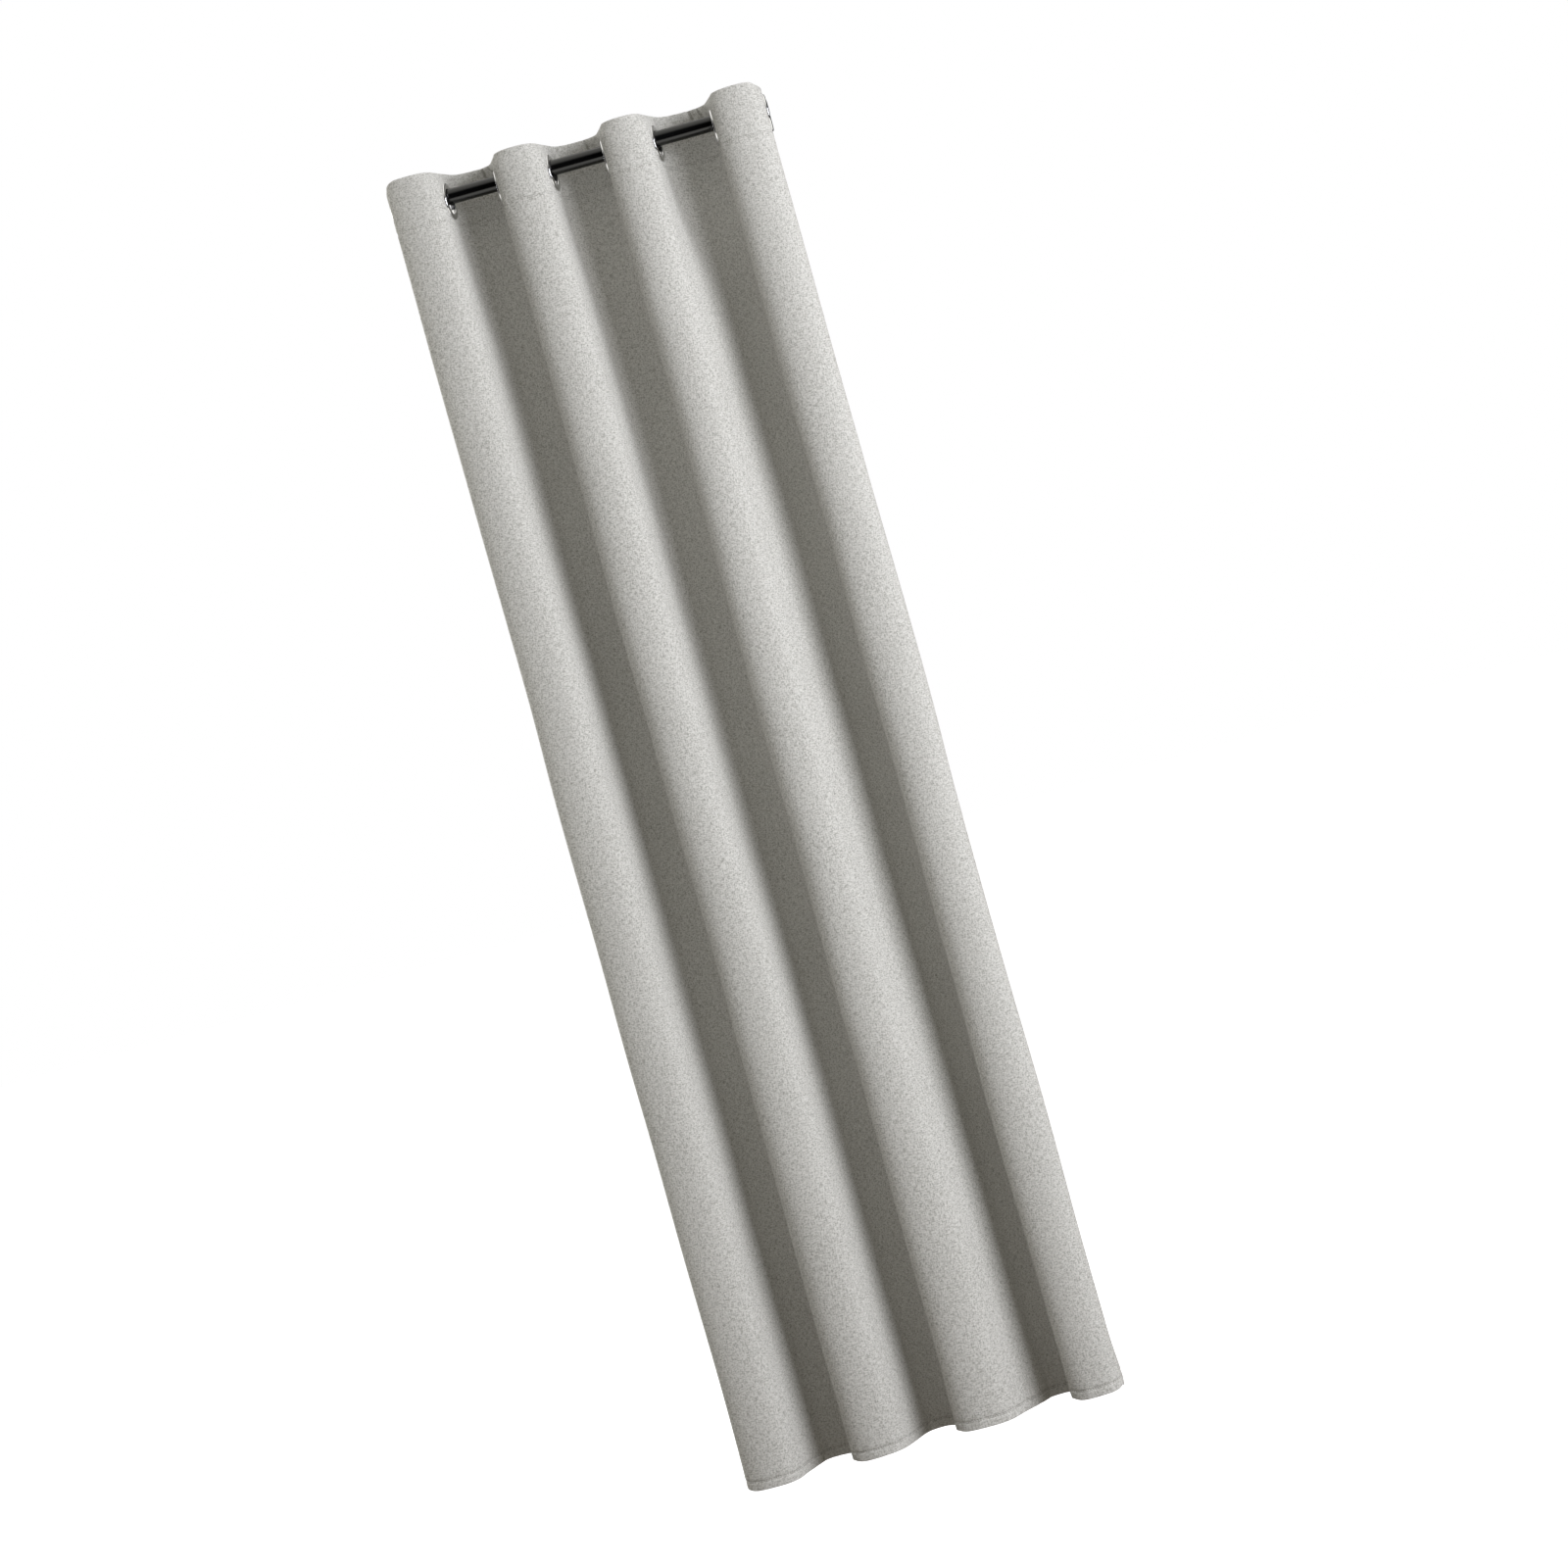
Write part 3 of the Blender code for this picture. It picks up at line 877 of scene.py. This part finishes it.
class CURTAIN_OT_rod(bpy.types.Operator):
    """Adds the black rod and its two end caps"""

    bl_idname = "curtain.rod"
    bl_label = "Rod"

    def execute(self, context):
        sides = context.scene.curtain_metal.sides
        bore = ROD_RADIUS - TUBE_WALL
        outside = rounded(ROD_RADIUS, -ROD_SHOULDER, ROD_SHOULDER, TUBE_EDGE)
        tube = turned("rod", outside + [(bore, -ROD_SHOULDER), (bore, ROD_SHOULDER)], sides)
        place_mesh(tube, Matrix.Rotation(math.pi / 2, 4, "Y"))
        settle_piece(tube, "rod", rod_paint(), "black_rod", "rod_tube")
        for side, turn in (("right", 1), ("left", -1)):
            node = f"rod_cap_{side}"
            plug_end = min(abs(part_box(node)[0].x), abs(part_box(node)[1].x))
            shoulder = ROD_SHOULDER + GAP
            plug = bore - GAP
            profile = [(0.0, ROD_END)] + rounded(ROD_RADIUS, shoulder, ROD_END, CAP_EDGE)
            profile += [(plug, shoulder), (plug, plug_end), (0.0, plug_end)]
            cap = turned(node + "_shell", profile, sides)
            place_mesh(cap, Matrix.Rotation(turn * math.pi / 2, 4, "Y"))
            settle_piece(cap, "rod", cap_plastic(), "black_cap", node)
        return {"FINISHED"}


class CURTAIN_OT_grommets(bpy.types.Operator):
    """Adds the eight grommets, each a face ring with its barrel and a back ring"""

    bl_idname = "curtain.grommets"
    bl_label = "Grommets"

    def execute(self, context):
        metal = context.scene.curtain_metal
        cloth = context.scene.curtain_cloth
        front_seat = cloth.thickness / 2 + GAP
        back_seat = HEADER_HEM_BEHIND + cloth.thickness / 2 + GAP
        barrel = metal.bore_radius + metal.barrel_wall
        barrel_end = -(back_seat + 0.75 * metal.flange_rise)
        face = self.dome(metal.bore_radius, front_seat, metal.flange_rise)
        face += [(RING_RADIUS, front_seat), (barrel, front_seat), (barrel, barrel_end)]
        face += [(metal.bore_radius + 0.4 * MM, barrel_end), (metal.bore_radius, barrel_end + 0.4 * MM)]
        back = self.dome(barrel + GAP, back_seat, metal.flange_rise)
        back += [(RING_RADIUS, back_seat), (barrel + GAP, back_seat)]
        patterns = {
            "front": turned("grommet_front_pattern", face, metal.sides),
            "back": turned("grommet_back_pattern", [(r, -h) for r, h in reversed(back)], metal.sides),
        }
        for number in range(1, RINGS + 1):
            body = "panel" if number == 1 else f"grommet_{number}"
            for side, pattern in patterns.items():
                ring = copy_piece(pattern, f"ring_{side}_{number}")
                place_mesh(ring, self.seat(number - 1))
                settle_piece(ring, body, plated(), "chrome_ring", f"grommet_{side}_{number}")
                gather(ring)
        for pattern in patterns.values():
            bpy.data.objects.remove(pattern)
        return {"FINISHED"}

    def dome(self, inner, base, rise):
        """A ring's domed face from its inner rim over the top to its outer rim."""
        middle, half = (inner + RING_RADIUS) / 2, (RING_RADIUS - inner) / 2
        angles = np.linspace(math.pi, 0, 17)
        return [(middle + half * math.cos(a), base + rise * (0.22 + 0.78 * math.sin(a) ** 0.8)) for a in angles]

    def seat(self, number):
        """Stands a ring on its wall, with its axis towards the side that the cloth's face looks to."""
        place, slope = WALLS_AT_HEADER[number]
        axis = Vector((1, -slope, 0)).normalized() * (1 if number % 2 else -1)
        turn = axis.to_track_quat("Z", "Y").to_matrix().to_4x4()
        return Matrix.Translation((place, 0, RING_Z)) @ turn


def gather(piece):
    """Gives the piece a mesh of its own.
    """
    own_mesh(piece)


class CURTAIN_OT_face(bpy.types.Operator):
    """Adds the face cloth, with its rolled top and bottom edges and its eyelets"""

    bl_idname = "curtain.face"
    bl_label = "Face Cloth"

    def execute(self, context):
        cloth = context.scene.curtain_cloth
        rows = drape().rows
        middle = rows[(rows > ROLL_DEPTH) & (rows < LENGTH - ROLL_DEPTH)]
        top, foot = np.array(ROLLED_TOP) * MM, np.array(ROLLED_FOOT) * MM
        downs = np.concatenate((top[:, 0], middle, LENGTH - foot[:, 0]))
        behinds = np.concatenate((top[:, 1], np.zeros(len(middle)), foot[:, 1]))
        face = hang_layer("curtain_cloth", downs, behinds, cloth.thickness, eyelets=True)
        settle_piece(face, "panel", linen(), "linen", "face_fabric")
        gather(face)
        return {"FINISHED"}


class CURTAIN_OT_header(bpy.types.Operator):
    """Adds the stiffener tape and the header hem behind the face cloth"""

    bl_idname = "curtain.header"
    bl_label = "Header"

    def execute(self, context):
        cloth = context.scene.curtain_cloth
        rows = drape().rows
        inner = rows[(rows > 2.5 * MM) & (rows < HEADER_DEPTH - 1 * MM)]
        layers = (
            ("header_tape", STIFFENER, STIFFENER_BEHIND, 2.5 * MM, buckram(), "stiffener", "header_stiffener"),
            ("header_fold", cloth.thickness, HEADER_HEM_BEHIND, 1.3 * MM, linen(), "linen", "header_hem"),
        )
        for name, thickness, behind, start, material, slot, node in layers:
            downs = [start, *inner, HEADER_DEPTH - 0.5 * MM]
            layer = hang_layer(name, downs, [behind] * len(downs), thickness, eyelets=True)
            settle_piece(layer, "panel", material, slot, node)
            size = (round(cloth.flat_width, 3), round(downs[-1] - downs[0], 3))
            gather(layer)
        return {"FINISHED"}


class CURTAIN_OT_hems(bpy.types.Operator):
    """Adds the turned-up bottom hem and the two side hems"""

    bl_idname = "curtain.hems"
    bl_label = "Hems"

    def execute(self, context):
        cloth = context.scene.curtain_cloth
        rows = drape().rows
        hem_top = LENGTH - BOTTOM_HEM_DEPTH
        low_rows = rows[(rows > hem_top + 1 * MM) & (rows < LENGTH - 2 * MM)]
        side_rows = rows[(rows > HEADER_DEPTH + 1 * MM) & (rows < hem_top - 1 * MM)]
        bottom = [hem_top, *low_rows, LENGTH - 1.3 * MM]
        side = [HEADER_DEPTH + 0.3 * MM, *side_rows, hem_top - 0.3 * MM]
        columns = RETURN_STEPS
        side_width = drape().flat[columns - 1]
        layers = (
            ("bottom_hem_fold", bottom, 0, None, cloth.flat_width, "bottom_hem"),
            ("side_hem_fold_left", side, 0, columns, side_width, "side_hem_left"),
            ("side_hem_fold_right", side, -columns, None, side_width, "side_hem_right"),
        )
        for name, downs, first, last, width, node in layers:
            layer = hang_layer(name, downs, [HEM_BEHIND] * len(downs), cloth.thickness, first, last)
            settle_piece(layer, "panel", linen(), "linen", node)
            size = (round(width, 3), round(downs[-1] - downs[0], 3))
            gather(layer)
        return {"FINISHED"}


class CURTAIN_OT_seams(bpy.types.Operator):
    """Sews the header, the bottom hem and the side hems with rows of small stitches"""

    bl_idname = "curtain.seams"
    bl_label = "Seams"

    def execute(self, context):
        hang = drape()
        half = context.scene.curtain_cloth.thickness / 2
        header, header_out = hang.at(np.array([HEADER_SEAM]))
        bottom, bottom_out = hang.at(np.array([BOTTOM_SEAM]))
        side_rows = hang.rows[(hang.rows > HEADER_DEPTH) & (hang.rows < LENGTH - BOTTOM_HEM_DEPTH)]
        sides, sides_out = hang.at(side_rows)
        seams = (
            ("header_seam", header[0], header_out[0], HEADER_HEM_BEHIND),
            ("bottom_seam", bottom[0], bottom_out[0], HEM_BEHIND),
            ("side_seam_left", sides[:, HEM_COLUMN], sides_out[:, HEM_COLUMN], HEM_BEHIND),
            ("side_seam_right", sides[:, -1 - HEM_COLUMN], sides_out[:, -1 - HEM_COLUMN], HEM_BEHIND),
        )
        stitch = self.stitch()
        for name, line, out, behind in seams:
            face_row = self.along(stitch, line + out * (half + STITCH_LIFT), out)
            back_row = self.along(stitch, line - out * (behind + half + STITCH_LIFT), -out)
            seam = self.join(name, stitch, np.concatenate((face_row, back_row)))
            settle_piece(seam, "panel", sewing_thread(), "linen")
            gather(seam)
        bpy.data.objects.remove(stitch)
        return {"FINISHED"}

    def stitch(self):
        """One stitch: a short, rounded length of thread along X, slightly bowed into the cloth at its ends."""
        deselect()
        bpy.ops.mesh.primitive_cylinder_add(
            vertices=6, radius=THREAD_RADIUS, depth=STITCH_LENGTH, rotation=(0, math.pi / 2, 0)
        )
        piece = name_piece("stitch_pattern")
        bpy.ops.object.transform_apply(location=False, rotation=True, scale=False)
        for direction in (-1, 1):
            bpy.ops.object.mode_set(mode="EDIT")
            bpy.ops.mesh.select_all(action="DESELECT")
            bpy.ops.object.mode_set(mode="OBJECT")
            for face in piece.data.polygons:
                face.select = face.normal.x * direction > 0.9
            bpy.ops.object.mode_set(mode="EDIT")
            bpy.ops.mesh.select_mode(type="FACE")
            bpy.ops.mesh.extrude_region_move(
                TRANSFORM_OT_translate={"value": (direction * STITCH_END, 0, -STITCH_DIP)}
            )
            bpy.ops.transform.resize(value=(1, STITCH_TAPER, STITCH_TAPER), center_override=(0, 0, -STITCH_DIP))
            bpy.ops.object.mode_set(mode="OBJECT")
        return piece

    def along(self, stitch, line, out):
        """The stitch's corners, repeated along a line: an array of stitches, corners and coordinates."""
        corners = np.array([vertex.co for vertex in stitch.data.vertices])
        steps = np.linalg.norm(np.diff(line, axis=0), axis=1)
        travelled = np.concatenate(([0], np.cumsum(steps)))
        pitch = bpy.context.scene.curtain_cloth.stitch_pitch
        count = int(travelled[-1] / pitch) - 1
        middles = (np.arange(count) + 0.75) * pitch
        centre = read_along(travelled, line, middles)
        ahead, behind = (read_along(travelled, line, middles + step) for step in (0.5 * MM, -0.5 * MM))
        forward = ahead - behind
        forward /= np.linalg.norm(forward, axis=1, keepdims=True)
        up = read_along(travelled, out, middles)
        up -= forward * np.sum(up * forward, axis=1, keepdims=True)
        up /= np.linalg.norm(up, axis=1, keepdims=True)
        across = np.cross(up, forward)
        axes = np.stack((forward, across, up), axis=1)
        return centre[:, None] + np.einsum("vk,nkc->nvc", corners, axes)

    def join(self, name, stitch, stitches):
        """All the stitches of a seam as one piece."""
        count, corners = stitches.shape[:2]
        faces = [tuple(polygon.vertices) for polygon in stitch.data.polygons]
        mesh = bpy.data.meshes.new(name)
        repeated = [tuple(i + n * corners for i in face) for n in range(count) for face in faces]
        mesh.from_pydata(stitches.reshape(-1, 3).tolist(), [], repeated)
        mesh.polygons.foreach_set("use_smooth", [True] * len(mesh.polygons))
        piece = bpy.data.objects.new(name, mesh)
        bpy.context.scene.collection.objects.link(piece)
        return piece


OPERATORS = (
    CURTAIN_OT_stage, CURTAIN_OT_rod, CURTAIN_OT_grommets, CURTAIN_OT_face,
    CURTAIN_OT_header, CURTAIN_OT_hems, CURTAIN_OT_seams,
)


class CURTAIN_PT_panel(bpy.types.Panel):
    """Lists the curtain's steps and its main settings"""

    bl_label = "Curtain Panel"
    bl_idname = "CURTAIN_PT_panel"
    bl_space_type = "VIEW_3D"
    bl_region_type = "UI"
    bl_category = "Curtain"

    def draw(self, context):
        for group in (context.scene.curtain_cloth, context.scene.curtain_metal, context.scene.curtain_stage):
            box = self.layout.box()
            for name in group.__annotations__:
                box.prop(group, name)
        for operator in OPERATORS:
            self.layout.operator(operator.bl_idname)


GROUPS = (("curtain_cloth", CurtainCloth), ("curtain_metal", CurtainMetal), ("curtain_stage", CurtainStage))


def register():
    for name, group in GROUPS:
        bpy.utils.register_class(group)
        setattr(bpy.types.Scene, name, PointerProperty(type=group))
    for entry in (*OPERATORS, CURTAIN_PT_panel):
        bpy.utils.register_class(entry)


def unregister():
    for entry in reversed((*OPERATORS, CURTAIN_PT_panel)):
        bpy.utils.unregister_class(entry)
    for name, group in reversed(GROUPS):
        delattr(bpy.types.Scene, name)
        bpy.utils.unregister_class(group)


def main():
    register()
    bpy.ops.curtain.stage()
    bpy.ops.curtain.rod()
    bpy.ops.curtain.grommets()
    bpy.ops.curtain.face()
    bpy.ops.curtain.header()
    bpy.ops.curtain.hems()
    bpy.ops.curtain.seams()


if __name__ == "__main__":
    main()
